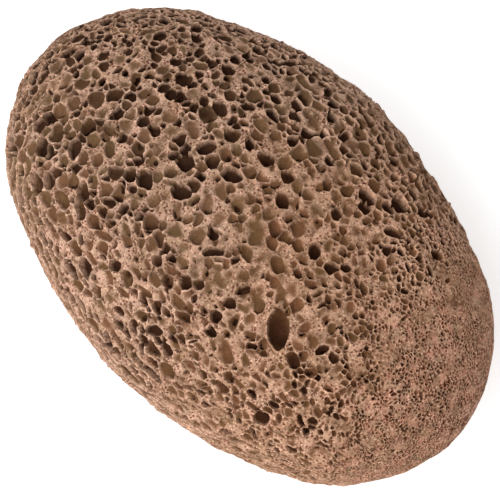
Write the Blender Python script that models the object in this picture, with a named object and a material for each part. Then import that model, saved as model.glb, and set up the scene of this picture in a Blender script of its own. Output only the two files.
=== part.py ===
"""A pumice stone for the feet: one oval, water-worn piece of frothy lava.

The stone is a single solid. Its outer form is a flattened pebble with a worn flat underneath, and the
widest of its broken bubbles are cut into it. Metres, +Z up: X runs along the stone from its coarse end to
its fine-grained end, Y across it, and the origin is at the middle of the flat that it rests on.
"""

import math
import random

import bmesh
import bpy
import numpy as np
from mathutils import Matrix, Vector

MM = 0.001

# Driving dimensions, in millimetres.
# The outline seen from above: its radius at every 22.5 degrees, anticlockwise from +X.
OUTLINE_RADII = (47.5, 43.8, 36.5, 32.2, 31.9, 33.3, 37.3, 44.8, 49.0, 45.0, 37.0, 32.6, 31.7, 32.9, 37.5, 44.4)
RISE_ABOVE_WAIST = 22.0
DROP_BELOW_WAIST = 19.5
WAIST_ABOVE_FLAT = 18.0
PLUMPNESS = 2.15  # 2 is an ellipse, and a higher power fills out the shoulders

# Shallow swells of the worn surface, dying out at the waist: height, the wave's turns along X, Y and Z, and
# where the wave starts.
SWELLS = (
    (0.35, (3.1, 2.3, 1.7), 0.4),
    (0.30, (-2.2, 4.1, 2.6), 2.1),
    (0.22, (5.2, -3.0, 3.4), 4.4),
)
# The skin's triangles: an even ball's, each split along its edges, crowded towards the ends by a stretch.
SKIN_SUBDIVISIONS = 3
SKIN_SPLITS = 2
SKIN_STRETCH = (48.0, 32.0, 20.0)

# The widest broken bubbles of the upper side: the middle's x and y, the mouth's length and width, how far
# its length is turned from X in degrees, and how deep the bubble goes.
TOP_BUBBLES = (
    # The coarse end.
    (-36.0, -3.0, 3.3, 2.4, 45, 1.2),
    (-34.5, -6.5, 3.3, 2.4, -45, 1.2),
    (-32.0, -3.5, 3.5, 3.0, -45, 1.5),
    (-28.5, -12.0, 3.5, 2.2, -45, 1.7),
    (-29.5, 3.5, 3.5, 2.4, -45, 1.1),
    (-27.5, 7.5, 2.7, 2.4, -45, 1.1),
    (-24.0, -8.5, 3.3, 2.4, -45, 1.5),
    (-25.0, 5.0, 2.4, 2.0, 45, 1.7),
    (-23.0, -1.5, 2.4, 2.1, -45, 1.9),
    (-21.5, 8.5, 2.2, 2.0, 45, 1.5),
    (-20.5, -10.5, 3.3, 3.0, -45, 1.5),
    (-19.0, -6.5, 2.5, 2.3, 0, 1.9),
    # The middle.
    (-16.0, 6.5, 3.4, 3.2, 0, 1.5),
    (-16.0, 3.0, 3.4, 2.8, -45, 1.0),
    (-12.5, 2.5, 3.4, 2.6, 45, 1.9),
    (-13.0, -2.0, 3.3, 2.7, -45, 2.1),
    (-10.5, 6.5, 3.0, 2.7, 45, 1.6),
    (-10.0, -6.0, 3.5, 3.0, -45, 2.0),
    (-6.0, 1.5, 3.5, 2.6, 45, 2.1),
    (-5.0, -4.5, 4.0, 2.7, -45, 0.9),
    (-8.0, -9.0, 3.5, 2.4, -45, 0.8),
    (-1.5, -7.0, 2.4, 2.2, -45, 1.7),
    (-1.0, 12.0, 4.1, 3.0, 45, 0.9),
    (1.0, -9.5, 4.0, 1.5, 45, 1.3),
    (3.5, -2.0, 6.0, 4.6, -45, 1.0),
    (3.0, 4.0, 2.6, 2.5, 0, 1.9),
    (3.5, 15.0, 2.4, 2.2, 45, 1.5),
    (6.5, -7.5, 6.0, 3.0, 0, 1.0),
    # Drawn-out bubbles of the sheared side.
    (-5.0, -30.0, 3.4, 1.8, 20, 1.3),
    (1.0, -15.5, 2.4, 2.2, -45, 1.6),
    (2.0, -24.2, 2.8, 1.7, 40, 1.3),
    (7.5, -27.0, 3.0, 2.6, -45, 1.2),
    (8.0, -16.0, 2.5, 2.0, -45, 1.6),
    (13.0, -19.0, 4.2, 2.8, -45, 0.9),
    (24.0, -22.0, 3.0, 2.2, -30, 1.6),
    # Towards the fine-grained end.
    (16.5, -10.0, 7.6, 3.8, -62, 2.6),
    (12.5, 2.0, 3.0, 2.2, -45, 2.0),
    (16.0, 2.0, 2.2, 2.1, 0, 1.6),
    (19.0, 14.0, 3.0, 1.9, 25, 1.5),
    (24.0, -8.0, 2.1, 1.9, 30, 1.4),
    (27.0, 14.0, 2.0, 1.9, 0, 1.3),
)

# The other bubbles are spread evenly round the stone and shrink towards the fine end.
EVEN_BUBBLES = 116
COARSE_BUBBLE = 3.1
FINE_BUBBLE = 1.6
FINE_END_AT = 27.0  # beyond this X no bubble is wide enough to cut
CLEAR_OF_FLAT = 2.5
CLEAR_OF_LISTED = 4.0
BUBBLE_SEED = 7

# How finely a cutter is faceted: round the mouth and from mouth to mouth over the bottom.
WIDE_MOUTH = 3.2
WIDE_FACETS = (12, 6)
SMALL_FACETS = (8, 6)

PUMICE_COLOUR = (0.283, 0.162, 0.098, 1.0)
PUMICE_ROUGHNESS = 0.95


def outline_radius(azimuth):
    """The outline's radius at each azimuth: a smooth cubic through the four nearest listed radii."""
    radii = np.array(OUTLINE_RADII)
    place = np.asarray(azimuth) / (2 * math.pi) * len(radii)
    before = np.floor(place).astype(int)
    share = place - before
    p0, p1, p2, p3 = (radii[(before + step) % len(radii)] for step in (-1, 0, 1, 2))
    bend = 2 * p0 - 5 * p1 + 4 * p2 - p3 + share * (3 * (p1 - p2) + p3 - p0)
    return p1 + 0.5 * share * (p2 - p0 + share * bend)


def skin_points(directions):
    """Points of the worn surface, in millimetres from the waist's middle, one along each unit direction."""
    flat_radius = outline_radius(np.arctan2(directions[:, 1], directions[:, 0]))
    level = np.hypot(directions[:, 0], directions[:, 1])
    upright = np.where(directions[:, 2] > 0, RISE_ABOVE_WAIST, DROP_BELOW_WAIST)
    filled = (level / flat_radius) ** PLUMPNESS + (np.abs(directions[:, 2]) / upright) ** PLUMPNESS
    distance = filled ** (-1 / PLUMPNESS)
    for height, turns, start in SWELLS:
        distance = distance + height * directions[:, 2] ** 2 * np.sin(directions @ np.array(turns) + start)
    return directions * distance[:, None]


def skin_frame(direction, turn):
    """The skin's point along a direction, and a rotation whose Z is its outward normal and X its turn from X."""
    towards = Vector(direction).normalized()
    side = towards.orthogonal().normalized() * 0.01
    other = towards.cross(side)
    near = np.array([towards, (towards + side).normalized(), (towards + other).normalized()])
    point, along, across = (Vector(p) for p in skin_points(near))
    normal = (along - point).cross(across - point).normalized()
    if normal.dot(towards) < 0:
        normal.negate()
    heading = Vector((math.cos(math.radians(turn)), math.sin(math.radians(turn)), 0.0))
    heading = (heading - normal * heading.dot(normal)).normalized()
    turned = Matrix((heading, normal.cross(heading), normal)).transposed()
    return point, turned


def link_mesh(name, bm, collection):
    """A new object of the given mesh, linked to the collection."""
    mesh = bpy.data.meshes.new(name)
    bm.to_mesh(mesh)
    bm.free()
    made = bpy.data.objects.new(name, mesh)
    collection.objects.link(made)
    return made


def add_skin(shift, collection):
    """The worn outer form: an even ball of triangles moved onto the skin, cut flat underneath and closed."""
    bm = bmesh.new()
    bmesh.ops.create_icosphere(bm, subdivisions=SKIN_SUBDIVISIONS, radius=1.0)
    bmesh.ops.subdivide_edges(bm, edges=bm.edges[:], cuts=SKIN_SPLITS, use_grid_fill=True)
    bmesh.ops.triangulate(bm, faces=bm.faces[:])
    stretch = Vector(SKIN_STRETCH)
    directions = np.array([(v.co.normalized() * stretch).normalized() for v in bm.verts])
    for vertex, point in zip(bm.verts, skin_points(directions)):
        vertex.co = (Vector(point) + shift) * MM
    everything = bm.verts[:] + bm.edges[:] + bm.faces[:]
    cut = bmesh.ops.bisect_plane(
        bm, geom=everything, dist=1e-7, plane_co=(0, 0, 0), plane_no=(0, 0, -1), clear_outer=True
    )
    rim = [e for e in cut["geom_cut"] if isinstance(e, bmesh.types.BMEdge)]
    bmesh.ops.edgenet_fill(bm, edges=rim)
    bmesh.ops.recalc_face_normals(bm, faces=bm.faces[:])
    return link_mesh("pumice_stone", bm, collection)


def add_bubble(name, direction, bubble, shift, collection):
    """A cutter for one broken bubble: an ellipsoid whose middle is on the skin."""
    length, width, turn, depth = bubble
    point, turned = skin_frame(direction, turn)
    size = Matrix.Diagonal((length / 2 * MM, width / 2 * MM, depth * MM, 1.0))
    place = Matrix.Translation((point + shift) * MM) @ turned.to_4x4() @ size
    round_mouth, over_bottom = WIDE_FACETS if length > WIDE_MOUTH else SMALL_FACETS
    bm = bmesh.new()
    bmesh.ops.create_uvsphere(bm, u_segments=round_mouth, v_segments=over_bottom, radius=1.0)
    bm.transform(place)
    cutter = link_mesh(name, bm, collection)
    cutter.hide_render = True
    cutter.display_type = "WIRE"


def top_directions():
    """The direction from the waist's middle to each listed bubble of the upper side."""
    for x, y, *_ in TOP_BUBBLES:
        share = math.hypot(x, y) / float(outline_radius(math.atan2(y, x)))
        height = RISE_ABOVE_WAIST * (1 - share**PLUMPNESS) ** (1 / PLUMPNESS)
        yield Vector((x, y, height)).normalized()


def even_bubbles(listed):
    """Directions and sizes of the bubbles between the listed ones, on the sides and on the underside."""
    sizes = random.Random(BUBBLE_SEED)
    taken = skin_points(np.array(listed))
    golden_turn = math.pi * (3 - math.sqrt(5))
    for i in range(EVEN_BUBBLES):
        upright = 1 - 2 * (i + 0.5) / EVEN_BUBBLES
        level = math.sqrt(1 - upright**2)
        direction = Vector((level * math.cos(golden_turn * i), level * math.sin(golden_turn * i), upright))
        point = skin_points(np.array([direction]))[0]
        share = (point[0] + OUTLINE_RADII[8]) / (FINE_END_AT + OUTLINE_RADII[8])
        length = (COARSE_BUBBLE + (FINE_BUBBLE - COARSE_BUBBLE) * share) * sizes.uniform(0.85, 1.15)
        bubble = (length, length * sizes.uniform(0.72, 1.0), sizes.uniform(0, 180), length * sizes.uniform(0.4, 0.6))
        clear = np.linalg.norm(taken - point, axis=1).min() > CLEAR_OF_LISTED
        if clear and share < 1 and point[2] > CLEAR_OF_FLAT - WAIST_ABOVE_FLAT:
            yield direction, bubble


def pumice():
    """The stone's material: dull brown rock with no shine."""
    made = bpy.data.materials.new("pumice")
    made.use_nodes = True
    made.diffuse_color = PUMICE_COLOUR
    shader = made.node_tree.nodes["Principled BSDF"]
    shader.inputs["Base Color"].default_value = PUMICE_COLOUR
    shader.inputs["Roughness"].default_value = PUMICE_ROUGHNESS
    shader.inputs["Metallic"].default_value = 0.0
    return made


def build():
    """Builds the stone and its bubble cutters."""
    for old in list(bpy.data.objects):
        bpy.data.objects.remove(old)
    stone_parts = bpy.data.collections.new("pumice stone")
    cutters = bpy.data.collections.new("bubble cutters")
    for collection in (stone_parts, cutters):
        bpy.context.scene.collection.children.link(collection)

    # The outline's own middle goes to x = y = 0, and the flat to z = 0.
    turns = np.linspace(0, 2 * math.pi, 1440, endpoint=False)
    waist = skin_points(np.stack([np.cos(turns), np.sin(turns), np.zeros_like(turns)], axis=1))
    middle = (waist.min(axis=0) + waist.max(axis=0)) / 2
    shift = Vector((-middle[0], -middle[1], WAIST_ABOVE_FLAT))

    stone = add_skin(shift, stone_parts)
    listed = list(top_directions())
    for i, (direction, bubble) in enumerate(zip(listed, TOP_BUBBLES)):
        add_bubble(f"listed_bubble_{i:02d}", direction, bubble[2:], shift, cutters)
    for i, (direction, bubble) in enumerate(even_bubbles(listed)):
        add_bubble(f"even_bubble_{i:02d}", direction, bubble, shift, cutters)
    bubbles = stone.modifiers.new("broken bubbles", "BOOLEAN")
    bubbles.operation = "DIFFERENCE"
    bubbles.operand_type = "COLLECTION"
    bubbles.collection = cutters
    bubbles.solver = "EXACT"

    stone.data.materials.append(pumice())
    stone.data.polygons.foreach_set("use_smooth", [True] * len(stone.data.polygons))


build()
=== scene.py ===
# %% [markdown]
# # A pumice stone
# Pumice is lava that froze while it was still full of gas. Every hole in it is a bubble that wear has broken
# open. The whole look is therefore one thing: thousands of broken bubbles, wide at one end of the stone and
# fine at the other, with thin walls between them. This lesson builds them as one numpy surface.
#
# The first cell loads the imported solid and moves each of its parts into world space.

# %% The frame
import math
import time

import bpy
import numpy as np
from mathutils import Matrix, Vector


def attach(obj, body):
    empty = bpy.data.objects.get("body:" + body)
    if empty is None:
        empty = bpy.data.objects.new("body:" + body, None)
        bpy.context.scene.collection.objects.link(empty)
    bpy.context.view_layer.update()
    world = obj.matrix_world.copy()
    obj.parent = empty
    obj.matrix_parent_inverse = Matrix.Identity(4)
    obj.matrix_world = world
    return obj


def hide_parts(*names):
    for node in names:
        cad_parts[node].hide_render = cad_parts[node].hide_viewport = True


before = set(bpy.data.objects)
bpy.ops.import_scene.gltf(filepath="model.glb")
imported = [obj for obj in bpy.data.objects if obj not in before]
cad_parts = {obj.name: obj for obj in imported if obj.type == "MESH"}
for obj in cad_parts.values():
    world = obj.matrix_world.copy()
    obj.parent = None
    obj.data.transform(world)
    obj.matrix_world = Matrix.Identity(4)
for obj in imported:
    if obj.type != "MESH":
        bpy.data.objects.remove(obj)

started = time.time()
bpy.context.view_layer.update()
MM = 0.001  # metres in a millimetre; the stone's sizes below are in millimetres

# %% [markdown]
# ## The worn form
# The pebble's outer form is a flattened oval. It could be sculpted, but a formula can be asked for a point in
# any direction, and that is what a surface made of whole arrays needs. The outline seen from above is a
# smooth curve through sixteen radii. A superellipse lifts it to the top and the bottom, three weak swells
# make it uneven, and a plane cuts the flat that it rests on.

# %% The outline and the skin
OUTLINE_RADII = (
    # from +X round towards +Y, a sixteenth of a turn apart
    *(47.5, 43.8, 36.5, 32.2, 31.9, 33.3, 37.3, 44.8),
    *(49.0, 45.0, 37.0, 32.6, 31.7, 32.9, 37.5, 44.4),
)
RISE_ABOVE_WAIST = 22.0
DROP_BELOW_WAIST = 19.5
WAIST_ABOVE_FLAT = 18.0
PLUMPNESS = 2.15  # the superellipse's power: 2 is an ellipse, more is boxier
SWELLS = (
    # height at the poles, turns for each unit of X, Y and Z, and start in radians
    (0.35, (3.1, 2.3, 1.7), 0.4),
    (0.30, (-2.2, 4.1, 2.6), 2.1),
    (0.22, (5.2, -3.0, 3.4), 4.4),
)
FLAT_ROUNDING = 0.06  # how softly the skin turns into the flat, as a share of the distance


def outline_radius(azimuth):
    """The outline's radius at each azimuth: a smooth cubic through the four nearest listed radii."""
    radii = np.array(OUTLINE_RADII)
    place = np.asarray(azimuth) / (2 * math.pi) * len(radii)
    before = np.floor(place).astype(int)
    share = place - before
    p0, p1, p2, p3 = (radii[(before + step) % len(radii)] for step in (-1, 0, 1, 2))
    bend = 2 * p0 - 5 * p1 + 4 * p2 - p3 + share * (3 * (p1 - p2) + p3 - p0)
    return p1 + 0.5 * share * (p2 - p0 + share * bend)


def skin(directions):
    """The worn surface: for each unit direction, the point at the superellipse's distance, swells added,
    smoothly held above the flat. Millimetres from the waist's middle."""
    flat_radius = outline_radius(np.arctan2(directions[..., 1], directions[..., 0]))
    level = np.hypot(directions[..., 0], directions[..., 1])
    upright = np.where(directions[..., 2] > 0, RISE_ABOVE_WAIST, DROP_BELOW_WAIST)
    filled = (level / flat_radius) ** PLUMPNESS + (np.abs(directions[..., 2]) / upright) ** PLUMPNESS
    distance = filled ** (-1 / PLUMPNESS)
    for height, turns, start in SWELLS:
        distance = distance + height * directions[..., 2] ** 2 * np.sin(directions @ np.array(turns) + start)
    to_flat = WAIST_ABOVE_FLAT / np.maximum(-directions[..., 2], 1e-6)
    # A smooth minimum of the two distances rounds the flat's edge.
    gap = np.clip(0.5 + 0.5 * (to_flat - distance) / (FLAT_ROUNDING * distance), 0, 1)
    held = to_flat + (distance - to_flat) * gap - FLAT_ROUNDING * distance * gap * (1 - gap)
    return directions * held[..., None]


turns = np.linspace(0, 2 * math.pi, 1440, endpoint=False)
waist = skin(np.stack([np.cos(turns), np.sin(turns), np.zeros_like(turns)], axis=-1))
middle = (waist.min(axis=0) + waist.max(axis=0)) / 2
TO_FRAME = np.array([-middle[0], -middle[1], WAIST_ABOVE_FLAT])
print("waist, mm:", np.round(waist.max(axis=0) - waist.min(axis=0), 2), "shift:", np.round(TO_FRAME, 3))

# %% [markdown]
# ## The grid
# The surface is a grid of rings round the long axis, from one end to the other. Its two parameters are the
# angle from the long axis and the turn round it. Stretching the ball of directions by the stone's own
# proportions spreads the rings evenly, and a wave in the turn packs the columns closer on the upper side,
# where the eye is.

# %% Rings and columns
RINGS, COLUMNS = ((1200, 1000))
PROPORTIONS = np.array([48.0, 32.0, 20.0])  # the stone's half-sizes, near enough
UPPER_CROWDING = 0.45  # how far the turn is pushed towards the top, in radians


def unit(vectors):
    """The vectors, each over its own length."""
    return vectors / np.linalg.norm(vectors, axis=-1, keepdims=True)


def grid_direction(ring_angle, column_angle):
    """The unit direction at an angle from +X and a turn round X, on a ball stretched to the proportions."""
    turn = column_angle + UPPER_CROWDING * np.cos(column_angle)
    ball = np.stack(
        [np.cos(ring_angle), np.sin(ring_angle) * np.cos(turn), np.sin(ring_angle) * np.sin(turn)], axis=-1
    )
    return unit(ball * PROPORTIONS)


ring_step = math.pi / RINGS
column_step = 2 * math.pi / COLUMNS
ring_angles = (np.arange(RINGS) + 0.5) * ring_step
column_angles = np.arange(COLUMNS) * column_step
A, B = np.meshgrid(ring_angles, column_angles, indexing="ij")
base = skin(grid_direction(A, B))
nudge = 1e-3
along = skin(grid_direction(A + nudge, B)) - skin(grid_direction(A - nudge, B))
across = skin(grid_direction(A, B + nudge)) - skin(grid_direction(A, B - nudge))
# The pace is how far apart neighbouring points stand on the skin.
ring_pace = np.linalg.norm(along, axis=-1) / (2 * nudge) * ring_step
column_pace = np.linalg.norm(across, axis=-1) / (2 * nudge) * column_step
normal = unit(np.cross(along, across))
normal *= np.sign(np.sum(normal * base, axis=-1, keepdims=True))
print("grid:", base.shape)
print("pace, mm:", round(float(ring_pace.mean()), 3), round(float(column_pace.mean()), 3))

# %% [markdown]
# ## Noise from a few waves
# Bubbles in lava are never true balls. A sum of sine waves in random directions gives a smooth wobble that
# can be asked for at any point. It bends space before the bubbles are measured, so every rim wavers.

# %% Smooth noise
FULL_TURN = 6.283
rng = np.random.default_rng(20)


def make_waves(wavelength, count=10):
    """Random wave vectors of about one wavelength, in radians a millimetre, with a random start each."""
    headings = unit(rng.normal(size=(count, 3)))
    lengths = wavelength * rng.uniform(0.75, 1.35, (count, 1))
    return headings * (2 * math.pi / lengths), rng.uniform(0, FULL_TURN, count)


def wave_noise(points, waves):
    """The mean-free sum of the waves at the points, scaled to a spread of about one."""
    vectors, starts = waves
    total = np.zeros(points.shape[:-1])
    for vector, start in zip(vectors, starts):
        total += np.sin(points @ vector + start)
    return total * math.sqrt(2 / len(starts))


bend_waves = [make_waves(3.4) for _ in range(3)]  # about one wide bubble across
fine_bend_waves = [make_waves(1.3) for _ in range(3)]
patch_waves = make_waves(14.0)  # frays the border between coarse and fine
wall_waves = make_waves(2.6)  # makes one wall thicker than the next
thick_waves = make_waves(9.0)  # patches with thicker walls
lump_waves = make_waves(5.5, 14)
grit_waves = make_waves(1.7, 14)
WIDE_BEND, FINE_BEND = 0.17, 0.035  # how far the two sizes of noise push a rim, in millimetres


def bent(points):
    """The points pushed about by two sizes of noise, which makes round bubbles waver."""
    wide = np.stack([wave_noise(points, waves) for waves in bend_waves], axis=-1)
    fine = np.stack([wave_noise(points, waves) for waves in fine_bend_waves], axis=-1)
    return points + WIDE_BEND * wide + FINE_BEND * fine

# %% [markdown]
# ## Where the bubbles are
# Gas rose through the lava and gathered, so one end is coarse and the other fine. The widest bubbles are what
# an eye knows this stone by, so they are placed one by one from a list. Each turn of -45 degrees lies along
# the way the bubbles rose.

# %% The widest bubbles
WIDEST = (
    # x, y, length and width of the mouth, turn from X in degrees, depth over half-width
    (-36.0, -3.0, 3.3, 2.4, 45, 0.8),
    (-34.5, -6.5, 3.3, 2.4, -45, 0.7),
    (-32.0, -3.5, 3.5, 3.0, -45, 0.9),
    (-28.5, -12.0, 3.5, 2.2, -45, 1.6),
    (-29.5, 3.5, 3.5, 2.4, -45, 0.8),
    (-27.5, 7.5, 2.7, 2.4, -45, 0.7),
    (-24.0, -8.5, 3.3, 2.4, -45, 1.0),
    (-25.0, 5.0, 2.4, 2.0, 45, 1.7),
    (-23.0, -1.5, 2.4, 2.1, -45, 1.8),
    (-21.5, 8.5, 2.2, 2.0, 45, 1.5),
    (-20.5, -10.5, 3.3, 3.0, -45, 1.1),
    (-18.2, -9.5, 2.8, 2.0, -45, 1.6),
    (-19.0, -6.5, 2.5, 2.3, 0, 1.8),
    (-16.0, 6.5, 3.4, 3.2, 0, 1.1),
    (-16.0, 3.0, 3.4, 2.8, -45, 0.7),
    (-12.5, 2.0, 3.4, 2.6, 45, 1.7),
    (-13.0, -2.0, 3.3, 2.7, -45, 1.9),
    (-10.5, 6.5, 3.0, 2.7, 45, 1.3),
    (-10.0, -6.0, 3.5, 3.0, -45, 1.5),
    (-6.0, 1.5, 3.5, 2.6, 45, 1.9),
    (-5.0, -4.5, 4.0, 2.7, -45, 0.45),
    (-8.0, -8.5, 3.5, 2.4, -45, 0.40),
    (-4.0, 4.3, 2.8, 2.6, 0, 0.6),
    (-1.5, -7.0, 2.4, 2.2, -45, 1.7),
    (-1.0, 12.0, 4.1, 3.0, 45, 0.5),
    (0.9, -9.2, 4.0, 1.5, 45, 1.5),
    (3.5, -2.0, 5.2, 3.2, -45, 0.26),
    (3.0, 4.2, 2.6, 2.5, 0, 1.6),
    (3.5, 15.0, 2.4, 2.2, 45, 1.5),
    (-5.0, -30.3, 3.4, 1.8, 20, 1.5),
    (1.0, -15.5, 2.4, 2.2, -45, 1.6),
    (2.0, -24.2, 2.8, 1.7, 40, 1.6),
    (7.5, -27.0, 3.0, 2.8, -45, 0.8),
    (8.2, -16.0, 2.6, 2.0, -45, 1.5),
    (8.5, -13.0, 2.0, 1.9, 0, 1.7),
    (13.0, -19.0, 4.2, 2.8, -45, 0.6),
    (24.0, -22.0, 3.2, 2.0, -30, 1.6),
    (12.5, 2.0, 3.0, 2.2, -45, 1.8),
    (16.0, 2.0, 2.2, 2.1, 0, 1.7),
    (17.5, 3.8, 1.9, 1.8, 0, 1.7),
    (18.8, 13.8, 3.0, 1.8, 25, 1.6),
    (24.0, -8.2, 2.0, 1.8, 30, 1.7),
    (27.0, 14.0, 2.0, 1.9, 0, 1.5),
    (25.5, 17.0, 2.2, 1.9, 20, 1.4),
    (14.4, -12.1, 2.4, 2.0, -45, 0.2),
    (16.5, -10.4, 8.2, 3.2, -54, 1.2),
)
print("listed mouths:", len(WIDEST))

# %% [markdown]
# ### How the bubbles change over the stone
# A few smooth fields say how coarse, sheared or rubbed the stone is. Each is a formula in a point's place, so
# it can be asked for at the middle of a mouth or at every point of the grid, and the same fields steer the
# sizes, the depths and the colours. The lava was sheared low on the -Y side, where the bubbles are drawn out,
# and the crown was rubbed in use, where what is left of the bubbles is shallow.

# %% Fields over the stone
def smooth_step(low, high, value):
    """0 below low, 1 above high, and a smooth S between."""
    share = np.clip((value - low) / (high - low), 0, 1)
    return share * share * (3 - 2 * share)


def grain_place(points):
    """How far a point is towards the fine end in millimetres: along X, and in a bow across Y."""
    x, y = points[..., 0], points[..., 1]
    return x + 0.5 * y - 0.9 * np.maximum(y - 5, 0) + 2.0 * wave_noise(points, patch_waves)


def shearing(points):
    """How much the lava was drawn out: 1 low on the -Y side, 0 elsewhere."""
    return smooth_step(-8, -22, points[..., 1]) * smooth_step(-34, -20, points[..., 0])


def corner(points):
    """1 on the corner of the stone that lies towards -X and -Y, 0 elsewhere."""
    return smooth_step(12, 34, -points[..., 0] - points[..., 1])


def coarseness(points):
    """Mouth size relative to the coarse end's: 1 there, two thirds on the way, a quarter at the fine end, and
    somewhat less where sheared, on the +Y flank and on the shoulder before the fine end."""
    place = grain_place(points)
    along = 1 - 0.38 * smooth_step(10, 24, place) - 0.38 * smooth_step(22, 34, place)
    far_side = smooth_step(15, 50, points[..., 1] - points[..., 0])
    drawn_down = 0.30 * shearing(points) * (1 - 0.9 * corner(points))
    shoulder = 0.28 * smooth_step(15, 27, points[..., 0]) * smooth_step(5, 15, points[..., 1])
    return along * (1 - drawn_down) * (1 - 0.22 * far_side) * (1 - shoulder)


RUBBED_MIDDLE = (9, -1)


def rubbing(points):
    """How much the crown was rubbed in use: 1 round its middle, 0 beyond 24 mm and on the underside."""
    away = np.hypot(points[..., 0] - RUBBED_MIDDLE[0], points[..., 1] - RUBBED_MIDDLE[1])
    return (1 - smooth_step(8, 24, away)) * (points[..., 2] > 0)


def wall_between(points):
    """The least wall that a mouth keeps: thicker in patches, where sheared and at the fine end."""
    coarse_part = 1 - smooth_step(8, 22, points[..., 0])
    thick = 0.09 * smooth_step(0.3, 1.5, wave_noise(points, thick_waves)) * coarse_part
    at_fine_end = 0.02 * smooth_step(24, 34, grain_place(points))
    return 0.01 + (thick + 0.13 * shearing(points)) * coarseness(points) + at_fine_end

# %% Points on the skin
def skin_and_outward(directions):
    """Skin points for each direction, and the outward normals there: the cross product of two small steps
    along the skin."""
    points = skin(directions)
    along_x = np.abs(directions[:, :1]) > 0.9
    helper = np.where(along_x, np.array([[0.0, 1.0, 0.0]]), np.array([[1.0, 0.0, 0.0]]))
    side = unit(np.cross(directions, helper))
    other = np.cross(directions, side)

    def near(step):
        """The skin's point a small step away."""
        return skin(unit(directions + step))

    out = unit(np.cross(near(1e-3 * side) - points, near(1e-3 * other) - points))
    out *= np.sign(np.sum(out * directions, axis=1, keepdims=True))
    return points, out

# %% [markdown]
# ### Throwing the mouths
# The rest of the mouths are thrown at random on the skin, widest first, and one that would crowd a mouth
# already there is thrown away, so the small ones fill the corners as they do in froth. Each batch is checked
# against the mouths already accepted as one table of distances for each slab along X. That is quick enough
# for two hundred thousand throws and needs no search tree. The fine end gets more throws for its area,
# because its mouths are small.

# %% What crowds what
CROWDING = 0.87  # below 1, neighbours cut into each other and share a straight wall
SLABS = 14
SMALLEST_MOUTH = 0.15  # half-width; the triangles can't draw a smaller one
FINEST = 0.24  # the coarseness at which every throw is kept
BATCH = 24000
MOUTH_CLASSES = (
    # smallest and largest half-width at the coarse end, number of throws
    (1.15, 1.45, 2600),
    (0.95, 1.15, 12000),
    (0.75, 0.95, 40000),
    (0.55, 0.75, 60000),
    (0.38, 0.55, 60000),
    (0.22, 0.38, 50000),
)


def slabs_along_x(points, others, reach):
    """Index arrays: each slab of the points, and the others within reach of that slab along X."""
    for slab in np.array_split(np.argsort(points[:, 0], kind="stable"), SLABS):
        if len(slab):
            low, high = points[slab[0], 0] - reach, points[slab[-1], 0] + reach
            yield slab, np.flatnonzero((others[:, 0] > low) & (others[:, 0] < high))


def crowded(points, sizes, walls, others, other_sizes):
    """Whether each mouth is nearer to another than its wall and the crowding share of both half-widths."""
    found = np.zeros(len(points), bool)
    reach = CROWDING * (sizes.max() + other_sizes.max()) + walls.max()
    for slab, near in slabs_along_x(points, others, reach):
        apart = np.linalg.norm(points[slab][:, None] - others[near][None], axis=2)
        least = CROWDING * (sizes[slab][:, None] + other_sizes[near][None]) + walls[slab][:, None]
        found[slab] = np.any(apart < least, axis=1)
    return found

# %% Mouths of the widest bubbles
# A listed place is its x and y. The outline and the superellipse give the height of the skin above it.
listed_directions = []
for x, y, *_ in WIDEST:
    share = math.hypot(x, y) / float(outline_radius(math.atan2(y, x)))
    listed_directions.append((x, y, RISE_ABOVE_WAIST * (1 - share**PLUMPNESS) ** (1 / PLUMPNESS)))
centres, outward = skin_and_outward(unit(np.array(listed_directions)))
half_widths = np.array([math.sqrt(length * width) / 2 for _, _, length, width, _, _ in WIDEST])

# %% All the other mouths
for smallest, largest, throws in MOUTH_CLASSES:
    thrown = 0
    while thrown < throws:
        ball = unit(unit(rng.normal(size=(BATCH, 3))) * PROPORTIONS)
        chance = (FINEST / coarseness(skin(ball))) ** 2
        ball = ball[rng.uniform(size=len(ball)) < chance][: throws - thrown]
        thrown += len(ball)
        points, out = skin_and_outward(ball)
        sizes = rng.uniform(smallest, largest, len(ball)) * coarseness(points)
        walls = wall_between(points)
        free = (sizes > SMALLEST_MOUTH) & ~crowded(points, sizes, walls, centres, half_widths)
        points, out, sizes, walls = points[free], out[free], sizes[free], walls[free]
        if len(points) == 0:
            continue
        apart = np.linalg.norm(points[:, None] - points[None], axis=2)
        clash = apart < CROWDING * (sizes[:, None] + sizes[None]) + walls[:, None]
        kept = np.ones(len(points), bool)
        for i in range(1, len(points)):
            kept[i] = not np.any(clash[i, :i] & kept[:i])
        centres = np.concatenate([centres, points[kept]])
        outward = np.concatenate([outward, out[kept]])
        half_widths = np.concatenate([half_widths, sizes[kept]])
    print("mouths:", len(centres), "seconds:", round(time.time() - started, 1))

# %% [markdown]
# ### Growing the mouths until they meet
# Throwing leaves gaps that no bubble of froth would leave. Each mouth therefore grows until it meets its
# nearest neighbour. Then all of them swell a little, least where the stone was rubbed or sheared and towards
# the fine end, where more of the skin is solid.

# %% Grown mouths
GROWTH = 1.22  # how much a mouth may grow before it meets its nearest neighbour
NEAR = 4.0  # how far along X a neighbour can be
SWELLING, SWELLING_LOST = 1.11, 0.08  # the growth of every mouth, and how much of it is lost where loose
walls = wall_between(centres)
mouth_count = len(half_widths)
listed_count = len(WIDEST)
grown = half_widths.copy()
for slab, near in slabs_along_x(centres, centres, NEAR):
    apart = np.linalg.norm(centres[slab][:, None] - centres[near][None], axis=2)
    room = (apart - walls[slab][:, None]) / CROWDING - half_widths[near][None]
    room[apart < 1e-9] = np.inf
    grown[slab] = np.clip(room.min(axis=1), half_widths[slab], half_widths[slab] * GROWTH)
half_widths[listed_count:] = grown[listed_count:]
loose = 0.5 * rubbing(centres) + shearing(centres) + smooth_step(0, 30, grain_place(centres))
half_widths[listed_count:] *= (SWELLING - SWELLING_LOST * np.clip(loose, 0, 1))[listed_count:]
print("half-widths, mm:", round(float(half_widths.min()), 2), "to", round(float(half_widths.max()), 2))

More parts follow.
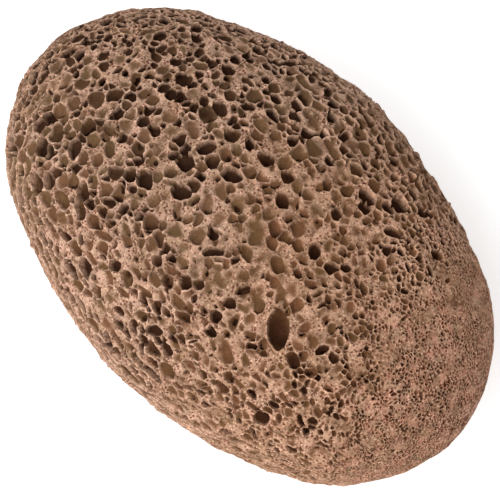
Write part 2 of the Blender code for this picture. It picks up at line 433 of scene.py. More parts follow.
# %% [markdown]
# ### The body of each bubble
# A mouth is only where the skin cuts the bubble. If the bubble's middle lies above the skin, the mouth shows
# a shallow dish. If it lies below, the mouth opens into a deep hole. Each bubble is an ellipsoid, and on the
# sheared side of the stone the lava drew them out into long ones.
#
# The depths are drawn from four kinds, because on a real stone pale dishes and near-black holes stand side by
# side. The +Y flank and the low -X, -Y corner have more deep ones, and the rubbed crown fewer.

# %% Bubble depths
DEPTH_KINDS = (
    # share of the bubbles, least and greatest depth over half-width
    (0.22, 0.22, 0.42),  # faint dishes
    (0.33, 0.42, 0.80),  # dishes
    (0.24, 0.80, 1.30),  # bowls
    (0.21, 1.35, 2.00),  # deep holes
)
kind = rng.uniform(size=mouth_count)  # 0 is the shallowest kind, 1 the deepest
far_side = centres[:, 1] - centres[:, 0]
kind += smooth_step(5, 50, far_side) * (0.12 + 0.6 * (kind - 0.5))
in_corner = corner(centres)
rubbed_off = 0.30 * rubbing(centres)
kind += smooth_step(15, 40, -far_side) * (0.30 * in_corner - 0.14 * (1 - in_corner)) - rubbed_off
kind += 0.18 * smooth_step(10, 20, grain_place(centres)) * smooth_step(-2, 8, centres[:, 1])
deepness = rng.uniform(*DEPTH_KINDS[-1][1:], mouth_count)
up_to = 1.0
for share, least, greatest in reversed(DEPTH_KINDS):
    chosen = kind < up_to
    deepness[chosen] = rng.uniform(least, greatest, chosen.sum())
    up_to -= share
FINE_TIP = 43  # how far along the bubbles are at their finest, in millimetres
SMALL = 0.42  # half-width under which a mouth has no dish
fine_end = smooth_step(26, 34, grain_place(centres)) > 0.5
fine_tip = grain_place(centres) > FINE_TIP
small = (half_widths < SMALL) & (kind > 0.25)
deepness = np.where(small | fine_end, rng.uniform(0.7, 1.3, mouth_count), deepness)
deepness = np.where(fine_tip, rng.uniform(0.4, 0.9, mouth_count), deepness)
print("deep holes:", round(float((deepness > 1.3).mean()), 3))
print("dishes:", round(float((deepness < 0.8).mean()), 3))

# %% Bubble lengths and headings
RISING = -0.78  # the turn from X, in radians, along which the bubbles are a little longer
SHEARED = -0.28  # the same where the lava was sheared
LONGEST = 3.0  # length over width
stretch = 1.08 + 0.20 * np.abs(rng.normal(size=mouth_count))
sheared = shearing(centres)
stretch = stretch + sheared * rng.uniform(0.2, 0.9, mouth_count)
heading_turn = (1 - sheared) * rng.normal(RISING, 0.4, mouth_count)
heading_turn += sheared * rng.normal(SHEARED, 0.3, mouth_count)
for i, (_, _, length, width, turn, deep) in enumerate(WIDEST):
    deepness[i] = deep
    stretch[i] = length / width
    heading_turn[i] = math.radians(turn)

headings = np.stack([np.cos(heading_turn), np.sin(heading_turn), np.zeros(mouth_count)], axis=1)
headings -= outward * np.sum(headings * outward, axis=1, keepdims=True)
level_share = np.linalg.norm(headings, axis=1)
headings /= level_share[:, None]
# The bubbles on the flanks are drawn out along the slope, and most of all on the +Y side.
drawn = np.where(centres[:, 1] > centres[:, 0], 1.5, 0.4 + 0.8 * in_corner)
stretch[listed_count:] *= (np.clip(level_share, 0.35, 1) ** -drawn)[listed_count:]
stretch = np.clip(stretch, 1, LONGEST)
sideways = np.cross(outward, headings)

# %% Ellipsoids
# The sphere that has this mouth and this depth: lift is its middle's height above the skin over its radius.
SKIN_AREA = 13600  # of the whole stone, in square millimetres
lift = (1 - deepness**2) / (1 + deepness**2)
radii = half_widths / np.sqrt(1 - lift**2)
middles = centres + outward * (lift * radii)[:, None]
lengthways = radii * np.sqrt(stretch)
crossways = radii / np.sqrt(stretch)
to_unit = np.stack(
    [headings / lengthways[:, None], sideways / crossways[:, None], outward / radii[:, None]], axis=1
)
print("mouth area share:", round(float((math.pi * half_widths**2).sum() / SKIN_AREA), 3))

# %% [markdown]
# ### Sinking the skin into the bubbles
# Cutting thousands of balls out of a solid with Booleans would take hours. Instead, each point of the grid is
# pushed in to where a ray from it leaves the bubble, which is the larger root of a quadratic. Where two
# bubbles overlap, the point belongs to the one with the lower power, which is the squared distance less the
# squared radius, and the wall stands where the two powers are equal, as soap films do.

# %% A window of the grid round a bubble
def grid_window(point, reach):
    """The rows and columns of the grid that lie within a reach of a point near the skin."""
    ball = point / PROPORTIONS
    ball = ball / np.linalg.norm(ball)
    ring_angle = math.acos(max(-1.0, min(1.0, ball[0])))
    wanted = math.atan2(ball[2], ball[1])
    column_angle = wanted
    for _ in range(12):
        column_angle = wanted - UPPER_CROWDING * math.cos(column_angle)
    row = int(ring_angle / ring_step)
    column = int(round(column_angle / column_step)) % COLUMNS
    row = min(max(row, 0), RINGS - 1)
    rows_out = int(reach / ring_pace[row, column]) + 2
    rows = np.arange(max(row - rows_out, 0), min(row + rows_out + 1, RINGS))
    tightest = column_pace[rows, column].min()
    columns_out = int(reach / max(tightest, 1e-3)) + 2
    if 2 * columns_out + 1 >= COLUMNS:
        columns = np.arange(COLUMNS)
    else:
        columns = np.arange(column - columns_out, column + columns_out + 1) % COLUMNS
    return np.ix_(rows, columns)

# %% Rays into the bubbles
space = bent(base)
SPARE = 0.45  # how far past its own rim a bubble is still asked for, so that its neighbours' walls know of it


def leave(offset, inward, matrix):
    """How far along the inward ray an ellipsoid is left, and where the ray starts: the squared distance from
    its middle in its own radii, less one, so negative inside."""
    place = offset @ matrix.T
    heading = inward @ matrix.T
    a = np.sum(heading * heading, axis=-1)
    b = np.sum(place * heading, axis=-1)
    c = np.sum(place * place, axis=-1) - 1
    root = np.sqrt(np.maximum(b * b - a * c, 0))
    return (root - b) / a, c


power_first = np.full(base.shape[:2], 9.0)
power_second = np.full(base.shape[:2], 9.0)
owner_first = np.full(base.shape[:2], -1)
owner_second = np.full(base.shape[:2], -1)
depth = np.zeros(base.shape[:2])
for i in range(mouth_count):
    window = grid_window(centres[i], 1.15 * half_widths[i] * math.sqrt(stretch[i]) + SPARE)
    exit_depth, inside = leave(space[window] - middles[i], -normal[window], to_unit[i])
    power = inside * radii[i] ** 2
    best = power < power_first[window]
    second = ~best & (power < power_second[window])
    power_second[window] = np.where(best, power_first[window], np.where(second, power, power_second[window]))
    owner_second[window] = np.where(best, owner_first[window], np.where(second, i, owner_second[window]))
    depth[window] = np.where(best, np.where(inside < 0, exit_depth, 0), depth[window])
    owner_first[window] = np.where(best, i, owner_first[window])
    power_first[window] = np.where(best, power, power_first[window])
print("sunk:", round(time.time() - started, 1), "s; open share:", round(float((depth > 0).mean()), 3))

# %% [markdown]
# ### Walls between bubbles
# A point near the boundary of two bubbles stays up on the wall between them. The boundary's distance follows
# from the difference of the two powers. One wall in eight is worn down or broken through, and which ones are
# is decided by the numbers of the two bubbles, so the whole wall shares one fate.

# %% Walls
both = (owner_first >= 0) & (owner_second >= 0) & (power_second < 0.6)
between = np.linalg.norm(middles[owner_first] - middles[owner_second], axis=-1)
to_wall = np.where(both, (power_second - power_first) / (2 * np.maximum(between, 0.2)), 9.0)
half_wall = (0.085 + 0.035 * wave_noise(base, wall_waves)) * (0.6 + 0.4 * coarseness(base))
open_share = smooth_step(0.5, 1.3, to_wall / np.maximum(half_wall, 0.02))
MIX_A, MIX_B, MIX_OVER = 7919, 104729, 1009  # primes that scramble whole numbers
WORN_WALLS = 0.12
pair = np.minimum(owner_first, owner_second) * MIX_A + np.maximum(owner_first, owner_second) * MIX_B
luck = (pair % MIX_OVER) / MIX_OVER
worn_wall = np.where(luck < WORN_WALLS, 0.25 + 3 * luck, 0.0) * (power_second < 0)
open_share = np.maximum(open_share, worn_wall)
depth *= open_share
print("worn walls:", round(float((worn_wall > 0).mean()), 4), "deepest, mm:", round(float(depth.max()), 2))

# %% [markdown]
# ### Painted shade
# Little light comes back out of a deep hole. The render's own shadows give part of that, and painted shade
# gives the rest: a share that darkens the colour, none in a dish and full just under the rim of a deep hole.
# Froth is the share of the fine end, where the pores are too small to be so dark.

# %% How much painted shade each point gets
own_width = np.where(owner_first >= 0, half_widths[owner_first], 1.0)
own_deepness = np.where(owner_first >= 0, deepness[owner_first], 0.0)
froth = smooth_step(20, 44, grain_place(base))
painted_shade = smooth_step(0.35, 1.4, depth / own_width) * smooth_step(0.5, 1.4, own_deepness)
painted_shade = painted_shade * (1 - 0.45 * smooth_step(0.1, 0.6, froth))
painted_shade = np.maximum(painted_shade, 0.5 * smooth_step(0.1, 0.6, froth) * smooth_step(0.15, 0.7, depth / own_width))
# The holes of the +Y flank and of the low corner get painted shade up to their rims, and those of the
# flank are made less deep.
shaded = smooth_step(5, 45, base[..., 1] - base[..., 0]) * (1 - froth)
rim_painted_shade = smooth_step(0.0, 0.4, depth / own_width) * smooth_step(0.45, 1.0, own_deepness)
low_corner = smooth_step(15, 40, base[..., 0] - base[..., 1]) * corner(base)
painted_shade = np.maximum(painted_shade, (0.72 * shaded + 0.5 * low_corner) * rim_painted_shade)
depth *= 1 - 0.35 * shaded
# Tone is one number for each bubble, for the material to tell one dish from the next.
tone = np.where(owner_first >= 0, (owner_first * MIX_A % MIX_OVER) / MIX_OVER, 0.5)
# Painted shade: each bubble is darker towards the drift than on its other side, a dark side and a lit one.
DRIFT = np.array([0.88, -0.47, 0.0])  # the way the froth crept while it froze
onward = np.sum((space - middles[owner_first]) * DRIFT, axis=-1) / own_width
drift_side_shade = np.clip(onward, -1, 1) * smooth_step(0.08, 0.45, depth / own_width) * (1 - 1.4 * shaded)
painted_shade = np.clip(painted_shade + 0.26 * drift_side_shade * (1 - smooth_step(0.1, 0.6, froth)), 0, 1)
print("gloomy share:", round(float((painted_shade > 0.5).mean()), 3))

# %% [markdown]
# ### Bubbles opened inside bubbles
# A broken bubble often shows a smaller, darker hole in its floor, where the next bubble down is open too. Six
# in ten of the wider bubbles get one to three of them, mostly on the drift side. A ray that has reached the
# first bubble's floor goes on to where it leaves the second.

# %% Inner bubbles
NARROWEST_WITH_INNER = 0.5  # half-width
INNER_CHANCE = 0.62
MOST_DEPTH = 5.0  # no hole goes further in than this
inner_count = 0
for i in range(mouth_count):
    if half_widths[i] < NARROWEST_WITH_INNER or rng.uniform() > INNER_CHANCE:
        continue
    for _ in range(rng.integers(1, 4)):
        down = -outward[i] * rng.uniform(0.5, 1.0) + DRIFT * 0.5
        down = down + headings[i] * rng.normal(0, 0.4) + sideways[i] * rng.normal(0, 0.4)
        down /= np.linalg.norm(down)
        size = radii[i] * rng.uniform(0.28, 0.55)
        at = middles[i] + down * (radii[i] + size * rng.uniform(0.1, 0.7))
        window = grid_window(centres[i], half_widths[i] * math.sqrt(stretch[i]) + 0.3)
        bottom = space[window] - normal[window] * depth[window][..., None]
        deeper, inside = leave(bottom - at, -normal[window], np.eye(3) / size)
        opened = (inside < 0) & (owner_first[window] == i) & (open_share[window] > 0.9)
        opened &= depth[window] > 0.1
        depth[window] += np.where(opened, deeper, 0)
        # An opened inner bubble gets painted shade by how deep it goes.
        inner_painted_shade = np.maximum(painted_shade[window], smooth_step(0.1, 1.4, deeper / size))
        painted_shade[window] = np.where(opened, inner_painted_shade, painted_shade[window])
        inner_count += 1
print("inner bubbles:", inner_count, "seconds:", round(time.time() - started, 1))
depth = MOST_DEPTH * (1 - np.exp(-depth / MOST_DEPTH))

# %% Open share along the stone
for low, high in ((-60, 10), (10, 22), (22, 28), (28, 34), (34, 60)):
    band = (grain_place(base) > low) & (grain_place(base) <= high) & (base[..., 2] > 5)
    print("place", low, "to", high, "open share:", round(float((depth[band] > 0.08).mean()), 3))

# %% [markdown]
# ### The worn skin between the bubbles
# What wear has left between the mouths is rough: low lumps, with grit on them. Solid is 1 on it and 0 in the
# bubbles. Ridge is 1 where solid stands among open mouths, which is on the walls' ground tops.

# %% The uneven skin
def nearby_mean(values, rows_out, columns_out):
    """The mean of the values over a small window of the grid round each point."""
    total = sum(np.roll(values, step, axis=1) for step in range(-columns_out, columns_out + 1))
    total = sum(np.roll(total, step, axis=0) for step in range(-rows_out, rows_out + 1))
    return total / ((2 * rows_out + 1) * (2 * columns_out + 1))


LUMPS, GRIT = 0.15, 0.06  # heights of the worn skin's two sizes of unevenness, in millimetres
off_the_flat = smooth_step(1.0, 5.0, (base + TO_FRAME)[..., 2])
uneven = LUMPS * wave_noise(base, lump_waves) + GRIT * wave_noise(base, grit_waves)
uneven = uneven * off_the_flat * (1 - 0.7 * froth)
uneven += 0.03 * (1 - off_the_flat)  # the flat lies a hair inside the solid's
solid = 1 - smooth_step(0.01, 0.18, depth)
cut_depth = np.maximum(depth, uneven)
depth = uneven * (1 - open_share) + cut_depth * open_share

# %% The walls' ground tops
AROUND = 0.3  # how far round a point its neighbours are asked, in millimetres
open_around = nearby_mean(1 - solid, max(1, round(AROUND / float(np.median(ring_pace)))), 3)
ridge = solid * smooth_step(0.40, 0.62, open_around)
print("ridge share:", round(float(ridge.mean()), 3), "solid share:", round(float(solid.mean()), 3))

# %% [markdown]
# ## The mesh
# The holes don't go straight in. They lean along the drift, and on the +Y flank against it, so that each
# shows its floor from above. The sunk grid then becomes one closed mesh: four-sided faces between the rings
# and a fan of triangles at each end.

# %% Sunk points
SLANT = 0.26  # how far a hole leans along the drift for each millimetre of its depth
FLANK_SLANT = 0.70  # how much of that the shaded flank takes off
lean = DRIFT - normal * (normal @ DRIFT)[..., None]
slant = SLANT - FLANK_SLANT * shaded
sunk = base - normal * depth[..., None] + lean * (slant * np.maximum(depth, 0))[..., None]


def with_poles(values):
    """The grid's values as one list, with the mean of the first and the last ring as the two poles."""
    listed = values.reshape(-1, *values.shape[2:])
    return np.concatenate([listed, values[:1].mean(axis=1), values[-1:].mean(axis=1)])

# %% [markdown]
# ### Spending the triangles
# The grid is far denser than it needs to be on the plain stretches, so a Decimate modifier spends the
# triangles where the surface bends. It weighs an edge by the distance that its loss moves the surface, so it
# would take the small pores first. It is therefore handed the surface magnified where the pores are fine, and
# the result is shrunk back.

# %% Magnifying the fine end
FINE_MAGNIFIED = 1.7
stations = np.linspace(-60, 60, 2401)  # places along X, a twentieth of a millimetre apart
station_scale = 1 + (FINE_MAGNIFIED - 1) * smooth_step(8, 30, stations)
station_steps = (station_scale[1:] + station_scale[:-1]) / 2 * np.diff(stations)
station_place = np.concatenate([[0], np.cumsum(station_steps)])


def magnified(points):
    """The points with X stretched and Y and Z scaled by the scale at their station along X."""
    scale = np.interp(points[:, 0], stations, station_scale)
    along_x = np.interp(points[:, 0], stations, station_place)
    return np.column_stack([along_x, points[:, 1] * scale, points[:, 2] * scale])


def shrunk_back(points):
    """The inverse of magnified."""
    along_x = np.interp(points[:, 0], station_place, stations)
    scale = np.interp(along_x, stations, station_scale)
    return np.column_stack([along_x, points[:, 1] / scale, points[:, 2] / scale])

# %% Faces
index = np.arange(RINGS * COLUMNS).reshape(RINGS, COLUMNS)
following = np.roll(index, -1, axis=1)
quads = np.stack([index[:-1], index[1:], following[1:], following[:-1]], axis=-1).reshape(-1, 4)
first_pole, last_pole = RINGS * COLUMNS, RINGS * COLUMNS + 1
first_fan = np.stack([np.full(COLUMNS, first_pole), index[0], following[0]], axis=-1)
last_fan = np.stack([np.full(COLUMNS, last_pole), following[-1], index[-1]], axis=-1)

points = magnified(with_poles(sunk)) * MM
corners = np.concatenate([quads.ravel(), first_fan.ravel(), last_fan.ravel()]).astype(np.int32)
corner_counts = np.concatenate([np.full(len(quads), 4), np.full(2 * COLUMNS, 3)])
mesh = bpy.data.meshes.new("dense_stone")
mesh.vertices.add(len(points))
mesh.vertices.foreach_set("co", points.astype(np.float32).ravel())
mesh.loops.add(len(corners))
mesh.loops.foreach_set("vertex_index", corners)
mesh.polygons.add(len(corner_counts))
loop_starts = np.concatenate([[0], np.cumsum(corner_counts)[:-1]])
mesh.polygons.foreach_set("loop_start", loop_starts.astype(np.int32))
print("dense points:", len(points), "faces:", len(corner_counts))

# %% [markdown]
# ### What the points carry
# The material can't see which bubble a point is in, so the mesh carries it: eight numbers on each point,
# which Decimate passes on to the points that it keeps. The listed bubbles of the fine end count as coarse.

# %% Numbers on the points
listed_hole = (owner_first >= 0) & (owner_first < listed_count) & (depth > 0.1)
carried = {
    "painted_shade": painted_shade,
    "solid": solid,
    "ridge": ridge,
    "tone": tone,
    "froth": np.where(listed_hole, 0.0, froth),
    "rubbed": rubbing(base),
    "sheared": shearing(base),
    "warmth": smooth_step(-15, 12, grain_place(base)),
}
for name, values in carried.items():
    attribute = mesh.attributes.new(name, "FLOAT", "POINT")
    attribute.data.foreach_set("value", with_poles(values).astype(np.float32))
mesh.update(calc_edges=True)
mesh.validate()
mesh.shade_smooth()

# %% The porous stone
TRIANGLES = 198000
SHARP = math.radians(42)  # a sharper fold than this, such as a rim, keeps its edge in the shading
dense = bpy.data.objects.new("dense_stone", mesh)
bpy.context.scene.collection.objects.link(dense)
thin = dense.modifiers.new("thin", "DECIMATE")
thin.ratio = TRIANGLES / (len(quads) * 2 + 2 * COLUMNS)
thin.use_collapse_triangulate = True
stone_mesh = bpy.data.meshes.new_from_object(dense.evaluated_get(bpy.context.evaluated_depsgraph_get()))
stone_mesh.name = "porous_stone"
places = np.empty(len(stone_mesh.vertices) * 3, np.float32)
stone_mesh.vertices.foreach_get("co", places)
places = (shrunk_back(places.reshape(-1, 3).astype(float) / MM) + TO_FRAME) * MM
stone_mesh.vertices.foreach_set("co", places.astype(np.float32).ravel())
stone_mesh.update()
stone_mesh.set_sharp_from_angle(angle=SHARP)
bpy.data.objects.remove(dense)
bpy.data.meshes.remove(mesh)
stone = bpy.data.objects.new("porous_stone", stone_mesh)
bpy.context.scene.collection.objects.link(stone)

# %% Where the triangles went
face_middles = np.empty(len(stone_mesh.polygons) * 3)
stone_mesh.polygons.foreach_get("center", face_middles)
face_middles = face_middles.reshape(-1, 3)
upper = float((face_middles[:, 2] > TO_FRAME[2] * MM).mean())
at_fine_end = float((grain_place(face_middles / MM - TO_FRAME) > 28).mean())
print("triangles:", len(stone_mesh.polygons), "upper share:", round(upper, 3))
print("fine share:", round(at_fine_end, 3), "seconds:", round(time.time() - started, 1))

# %% [markdown]
# ## Pumice
# Pumice is lava glass blown to froth and then worn by water and feet. The glass itself is dull from its own
# tiny bubbles, so it has next to no shine. What wear has ground is pale and pinkish, and the smooth inside of
# a bubble is olive brown. A deep hole is painted a dark red-brown: painted shade for the light that doesn't
# come back out of it. A painted texture would have to be fitted to every hole, so the colours are mixed from
# the numbers on the points instead, with noise for what is finer.

# %% Colour and node helpers
def linear(hex_colour):
    """An sRGB hex colour as linear red, green, blue and alpha."""
    channels = [int(hex_colour[i : i + 2], 16) / 255 for i in (1, 3, 5)]
    return (*[c / 12.92 if c <= 0.04045 else ((c + 0.055) / 1.055) ** 2.4 for c in channels], 1.0)


def add_node(kind, settings, wired=None, out=0):
    """Adds a node to the pumice and gives one of its outputs. Settings are its properties or the values of
    its inputs, and wired are the outputs that feed its inputs."""
    node = tree.nodes.new(kind)
    for key, value in settings.items():
        if isinstance(key, str) and hasattr(node, key):
            setattr(node, key, value)
        else:
            node.inputs[key].default_value = value
    for key, source in (wired or {}).items():
        tree.links.new(source, node.inputs[key])
    return node.outputs[out]

# %% Worn pumice
# Volcanic glass has an IOR of 1.5, but a froth of it scatters light many times before it comes back: the eye
# sees a chalky, matt surface with no highlight, so the roughness is high and the specular level low.
pumice = bpy.data.materials.new("worn_pumice")
pumice.use_nodes = True
tree = pumice.node_tree
shader = tree.nodes["Principled BSDF"]
shader.inputs["Roughness"].default_value = 0.92
shader.inputs["Specular IOR Level"].default_value = 0.08
shader.inputs["IOR"].default_value = 1.5
print("material:", pumice.name, "roughness:", round(shader.inputs["Roughness"].default_value, 2))

# %% Numbers read from the points
# The patterns below are on Object coordinates in millimetres, so that a scale is a count to the millimetre.
read = {name: add_node("ShaderNodeAttribute", {"attribute_name": name}, out="Fac") for name in carried}
where = add_node("ShaderNodeTexCoord", {}, out="Object")
per_mm = add_node("ShaderNodeMapping", {"Scale": (1 / MM, 1 / MM, 1 / MM)}, {"Vector": where})

# %% [markdown]
# ### Coats
# The colour starts as two coats, one for the worn skin and one for the inside of the bubbles, and the solid
# share chooses between them. Ground tops are the palest: partly the worn glass's own pale colour, and partly
# a painted highlight on the thin wall tops. A bubble's inside darkens from dish through bowl to throat as its
# painted shade grows.

# %% The worn skin's coat
MIXED = {"data_type": "RGBA", "blend_type": "MIX"}
TINTED = {"data_type": "RGBA", "blend_type": "MULTIPLY"}


def patchy(noise, low, high, first, second):
    """A colour that drifts from the first to the second while the noise goes from low to high."""
    share = add_node("ShaderNodeMapRange", {"From Min": low, "From Max": high}, {"Value": noise})
    return add_node("ShaderNodeMix", {**MIXED, 6: first, 7: second}, {0: share}, 2)


# Patches 5 mm across, paler where the glass is cleaner.
patches = add_node("ShaderNodeTexNoise", {"Scale": 0.2, "Detail": 3.0, "Roughness": 0.6}, {"Vector": per_mm})
top = patchy(patches, 0.38, 0.62, linear("#AA8A72"), linear("#C8A590"))
# Partly painted highlight: the pale ridge colour also stands for the light that catches the thin wall tops.
RIDGE_AND_HIGHLIGHT_ENDS = {6: linear("#E2BFA7"), 7: linear("#D2AF98")}  # the second where rubbed, and so less clean
ridge_colour_and_highlight = add_node("ShaderNodeMix", {**MIXED, **RIDGE_AND_HIGHLIGHT_ENDS}, {0: read["rubbed"]}, 2)
worn = add_node("ShaderNodeMix", MIXED, {0: read["ridge"], 6: top, 7: ridge_colour_and_highlight}, 2)

# %% The bubbles' coat
dish = add_node("ShaderNodeMix", {**MIXED, 6: linear("#6C553B"), 7: linear("#785943")}, {0: read["tone"]}, 2)
# The pores of the fine end let their light back out, so only half of their painted shade is kept.
fine_share = add_node("ShaderNodeMapRange", {"From Min": 0.05, "From Max": 0.50}, {"Value": read["froth"]})
let_in = add_node("ShaderNodeMapRange", {"To Min": 1.0, "To Max": 0.5}, {"Value": fine_share})
painted_shade_left = add_node("ShaderNodeMath", {"operation": "MULTIPLY"}, {0: read["painted_shade"], 1: let_in})
# Painted shade: the bowl's dark brown and the throat's near-black stand for light that a deep hole keeps.
bowl_shade_share = add_node("ShaderNodeMapRange", {"From Max": 0.55}, {"Value": painted_shade_left})
bowl_shade = add_node("ShaderNodeMix", {**MIXED, 7: linear("#533A28")}, {0: bowl_shade_share, 6: dish}, 2)
throat_shade_share = add_node("ShaderNodeMapRange", {"From Min": 0.45}, {"Value": painted_shade_left})
throat_shade = add_node("ShaderNodeMix", {**MIXED, 7: linear("#3B261B")}, {0: throat_shade_share, 6: bowl_shade}, 2)
# The inside of the bubbles is redder towards the fine end and where the lava was sheared: partly iron in the
# glass, and partly a painted red for the light that bounces between the hollows' walls.
ruddy_and_bounce_share = add_node("ShaderNodeMath", {"operation": "MAXIMUM"}, {0: read["warmth"], 1: read["sheared"]})
ruddy_and_bounce = add_node("ShaderNodeMix", {**TINTED, 7: (1.0, 0.90, 0.85, 1.0)}, {0: ruddy_and_bounce_share, 6: throat_shade}, 2)
coat = add_node("ShaderNodeMix", MIXED, {0: read["solid"], 6: ruddy_and_bounce, 7: worn}, 2)

# %% [markdown]
# ### Tints
# Real stone is never one colour. Five tints multiply the coat: a warm one and a rosy one towards the fine
# end, stains about 2 mm across over everything, olive and rosy mottles about 1.7 mm across at the fine end,
# and a grain of a third of a millimetre, which is the size of the crumbs that the glass breaks into.

# %% Tints
coat = add_node("ShaderNodeMix", {**TINTED, 7: (1.0, 0.95, 0.89, 1.0)}, {0: read["warmth"], 6: coat}, 2)
coat = add_node("ShaderNodeMix", {**TINTED, 7: (0.93, 0.87, 0.91, 1.0)}, {0: read["froth"], 6: coat}, 2)

stains = add_node("ShaderNodeTexNoise", {"Scale": 0.45, "Detail": 2.0, "Roughness": 0.5}, {"Vector": per_mm})
stain = patchy(stains, 0.34, 0.66, (0.86, 0.86, 0.85, 1.0), (1.14, 1.12, 1.11, 1.0))
coat = add_node("ShaderNodeMix", {**TINTED, 0: 1.0}, {6: coat, 7: stain}, 2)

mottles = add_node("ShaderNodeTexNoise", {"Scale": 0.6, "Detail": 3.0, "Roughness": 0.6}, {"Vector": per_mm})
mottle = patchy(mottles, 0.38, 0.62, (0.87, 0.93, 0.86, 1.0), (1.07, 0.99, 0.97, 1.0))
coat = add_node("ShaderNodeMix", TINTED, {0: fine_share, 6: coat, 7: mottle}, 2)

grain = add_node("ShaderNodeTexNoise", {"Scale": 3.2, "Detail": 4.0, "Roughness": 0.6}, {"Vector": per_mm})
grain_tint = patchy(grain, 0.3, 0.7, (0.84, 0.73, 0.67, 1.0), (1.15, 1.18, 1.18, 1.0))
coat = add_node("ShaderNodeMix", {**TINTED, 0: 1.0}, {6: coat, 7: grain_tint}, 2)

# %% [markdown]
# ### Pits, pores and crumbs
# The worn skin between the wide bubbles is itself froth: pits and pale crumbs. The real ones are a tenth to a
# fifth of a millimetre and too fine to show, so they are drawn about twice as coarse. At the fine end the
# skin is all small pores, about 0.7 mm from one to the next. None of them is big enough for the triangles, so
# they are colour and a tenth of a millimetre of bump. The red-brown of the pits and pores is painted shade,
# where their hollows would be in shadow. The pale crumbs are partly the glass's own pale grains and partly
# painted highlight.

# %% Dots
# Swerving the coordinates by a fifth of a millimetre keeps the dots from being true circles.
swerve = add_node("ShaderNodeTexNoise", {"Scale": 3.0, "Detail": 2.0}, {"Vector": per_mm}, "Color")
SWERVE = {"operation": "MULTIPLY_ADD", 1: (0.22, 0.22, 0.22)}
swerved = add_node("ShaderNodeVectorMath", SWERVE, {0: swerve, 2: per_mm})


def dots(scale, rare, smallest, widest):
    """A mask of round dots, 1 in a dot and 0 outside. Each Voronoi cell holds one, and the cell's own random
    colour sets the dot's radius between the smallest and the widest."""
    cell = add_node("ShaderNodeTexVoronoi", {"Scale": scale}, {"Vector": swerved}, "Color")
    luck = add_node("ShaderNodeSeparateColor", {}, {"Color": cell}, "Red")
    away = add_node("ShaderNodeTexVoronoi", {"Scale": scale}, {"Vector": swerved}, "Distance")
    radii_drawn = {"From Min": rare, "To Min": smallest, "To Max": widest}
    radius = add_node("ShaderNodeMapRange", radii_drawn, {"Value": luck})
    heart = add_node("ShaderNodeMath", {"operation": "MULTIPLY", 1: 0.5}, {0: radius})
    limits = {"Value": away, "From Min": heart, "From Max": radius}
    return add_node("ShaderNodeMapRange", {"To Min": 1.0, "To Max": 0.0}, limits)

# %% Where the skin is granular
# Solid skin is granular, but its ground ridges less so, and the fine end and the rubbed crown a little less.
FADES_AT_TIP = {"From Min": 0.60, "From Max": 0.95, "To Min": 1.0, "To Max": 0.3}
tip = add_node("ShaderNodeMapRange", FADES_AT_TIP, {"Value": read["froth"]})
fine = add_node("ShaderNodeMath", {"operation": "MULTIPLY"}, {0: fine_share, 1: tip})
LESS_ON_RIDGES = {"operation": "MULTIPLY_ADD", 1: -0.5}
granular = add_node("ShaderNodeMath", LESS_ON_RIDGES, {0: read["ridge"], 2: read["solid"]})
LESS_WHERE_FINE = {"operation": "MULTIPLY_ADD", 1: -0.25, "use_clamp": True}
granular = add_node("ShaderNodeMath", LESS_WHERE_FINE, {0: fine, 2: granular})
kept = add_node("ShaderNodeMapRange", {"To Min": 1.0, "To Max": 0.85}, {"Value": read["rubbed"]})
granular = add_node("ShaderNodeMath", {"operation": "MULTIPLY"}, {0: granular, 1: kept})

# %% Pits and pores
# How strongly the pits are painted dark, as painted shade.
pit_shade_strength = add_node("ShaderNodeMapRange", {"To Min": 0.10, "To Max": 0.95}, {"Value": granular})
pits_and_shade = add_node("ShaderNodeMath", {"operation": "MULTIPLY"}, {0: dots(2.0, 0.0, 0.22, 0.62), 1: pit_shade_strength})

# The pores of the fine end fill Voronoi cells up to the thin walls between them.
PORES = {"Scale": 1.4, "feature": "DISTANCE_TO_EDGE"}
from_wall = add_node("ShaderNodeTexVoronoi", PORES, {"Vector": swerved}, "Distance")
pore_cell = add_node("ShaderNodeTexVoronoi", {"Scale": 1.4}, {"Vector": swerved}, "Color")
pore_luck = add_node("ShaderNodeSeparateColor", {}, {"Color": pore_cell}, "Green")
pore_shade_strength = add_node("ShaderNodeMapRange", {"To Min": 0.05, "To Max": 0.50}, {"Value": pore_luck})
pore_and_shade = add_node("ShaderNodeMapRange", {"From Min": 0.05, "From Max": 0.24}, {"Value": from_wall})
pore_and_shade = add_node("ShaderNodeMath", {"operation": "MULTIPLY"}, {0: pore_and_shade, 1: pore_shade_strength})
pore_and_shade = add_node("ShaderNodeMath", {"operation": "MULTIPLY"}, {0: pore_and_shade, 1: fine})
pits_and_shade = add_node("ShaderNodeMath", {"operation": "MAXIMUM"}, {0: pits_and_shade, 1: pore_and_shade})

# %% Crumbs and painted highlights, and the coat with everything on it
# Pale dots: partly the glass's own crumbs, and partly painted highlight, bright specks as if grains caught
# light.
crumb_and_highlight_strength = add_node("ShaderNodeMapRange", {"To Max": 0.65}, {"Value": granular})
crumb_and_highlight_dots = dots(2.3, 0.15, 0.2, 0.58)
crumbs_and_highlights = add_node("ShaderNodeMath", {"operation": "MULTIPLY"}, {0: crumb_and_highlight_dots, 1: crumb_and_highlight_strength})
coat = add_node("ShaderNodeMix", {**MIXED, 7: linear("#FFCDB0")}, {0: crumbs_and_highlights, 6: coat}, 2)
# Painted shade: the pits and pores are darkened to a red-brown where a real pit would lie in shadow.
PIT_SHADE_TINT = (0.24, 0.07, 0.04, 1.0)  # light that has crossed a pit's glass comes back red
coat = add_node("ShaderNodeMix", {**TINTED, 7: PIT_SHADE_TINT}, {0: pits_and_shade, 6: coat}, 2)
tree.links.new(coat, shader.inputs["Base Color"])

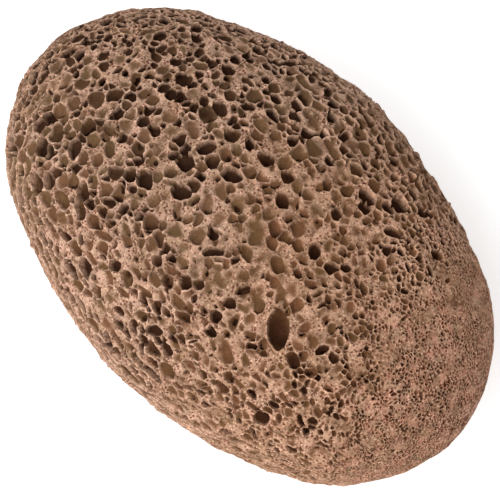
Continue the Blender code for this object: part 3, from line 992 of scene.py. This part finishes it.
# %% Bump, and the stone in its place
GRAIN_BUMP = {"Strength": 0.6, "Distance": 0.00010}  # a tenth of a millimetre high
PIT_BUMP = {"Strength": 0.7, "Distance": 0.00012, "invert": True}
grain_bump = add_node("ShaderNodeBump", GRAIN_BUMP, {"Height": grain})
bump = add_node("ShaderNodeBump", PIT_BUMP, {"Height": pits_and_shade, "Normal": grain_bump})
tree.links.new(bump, shader.inputs["Normal"])
stone_mesh.materials.clear()
stone_mesh.materials.append(pumice)

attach(stone, "root")
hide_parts("pumice_stone")

# %% [markdown]
# ## The studio
# A dull, pitted thing shows best from nearly straight above, on white, in soft light that comes mostly from
# one side: the pits then have a dark side and a lit one. The floor glows a little, as a lit sheet of paper
# does, so that the stone's own shadow on it stays faint.

# %% Floor
floor_mesh = bpy.data.meshes.new("studio_floor")
EDGE = 1.5  # from the middle of the sheet to each edge, in metres
sheet_corners = [(-EDGE, -EDGE, 0), (EDGE, -EDGE, 0), (EDGE, EDGE, 0), (-EDGE, EDGE, 0)]
floor_mesh.from_pydata(sheet_corners, [], [(0, 1, 2, 3)])
floor = bpy.data.objects.new("studio_floor", floor_mesh)
bpy.context.scene.collection.objects.link(floor)
paper = bpy.data.materials.new("white_paper")
paper.use_nodes = True
paper_shader = paper.node_tree.nodes["Principled BSDF"]
paper_shader.inputs["Base Color"].default_value = linear("#F6F6F6")
paper_shader.inputs["Roughness"].default_value = 0.9
paper_shader.inputs["Emission Color"].default_value = (1, 1, 1, 1)
paper_shader.inputs["Emission Strength"].default_value = 0.52
floor_mesh.materials.append(paper)

# %% Camera
CAMERA_TURN, CAMERA_RISE = 44.4, 75.0  # degrees round Z, and above the floor
CAMERA_DISTANCE = 352.0
CAMERA_TARGET = np.array([0.62, -0.71, -0.25]) + TO_FRAME
turn, rise = math.radians(CAMERA_TURN), math.radians(CAMERA_RISE)
back = np.array([math.sin(turn) * math.cos(rise), -math.cos(turn) * math.cos(rise), math.sin(rise)])
camera_data = bpy.data.cameras.new("camera")
camera_data.lens = 150
camera_data.sensor_width = 36
camera_data.clip_start = 0.01
camera = bpy.data.objects.new("camera", camera_data)
bpy.context.scene.collection.objects.link(camera)
camera.location = (CAMERA_TARGET + back * CAMERA_DISTANCE) * MM
camera.rotation_euler = (math.pi / 2 - rise, 0, turn)
bpy.context.scene.camera = camera
bpy.context.scene.view_settings.view_transform = "Standard"
print("camera, mm:", np.round(np.array(camera.location) / MM, 1))

# %% Lights
def add_softbox(name, heading, rise_angle, distance, size, watts):
    """A white square light that faces the stone, with its heading and rise in degrees: seen through the
    camera, heading 0 is to the right and 90 at the top."""
    around = turn + math.radians(heading)
    up = math.radians(rise_angle)
    aim = np.array([math.cos(around) * math.cos(up), math.sin(around) * math.cos(up), math.sin(up)])
    data = bpy.data.lights.new(name, "AREA")
    data.shape = "SQUARE"
    data.size = size
    data.energy = watts
    lamp = bpy.data.objects.new(name, data)
    bpy.context.scene.collection.objects.link(lamp)
    lamp.location = aim * distance
    lamp.rotation_euler = Vector(aim).to_track_quat("Z", "Y").to_euler()
    print(name, "watts:", watts)


add_softbox("key_softbox", -128, 47, 0.9, 0.75, 5.7)
add_softbox("top_softbox", 160, 58, 1.0, 0.8, 3.2)

# %% The white room
world = bpy.data.worlds.new("studio_white")
bpy.context.scene.world = world
world.use_nodes = True
world.node_tree.nodes["Background"].inputs["Color"].default_value = (1, 1, 1, 1)
world.node_tree.nodes["Background"].inputs["Strength"].default_value = 0.36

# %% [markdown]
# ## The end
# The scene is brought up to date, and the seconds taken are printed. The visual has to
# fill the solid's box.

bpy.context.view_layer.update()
print("seconds:", round(time.time() - started, 1))
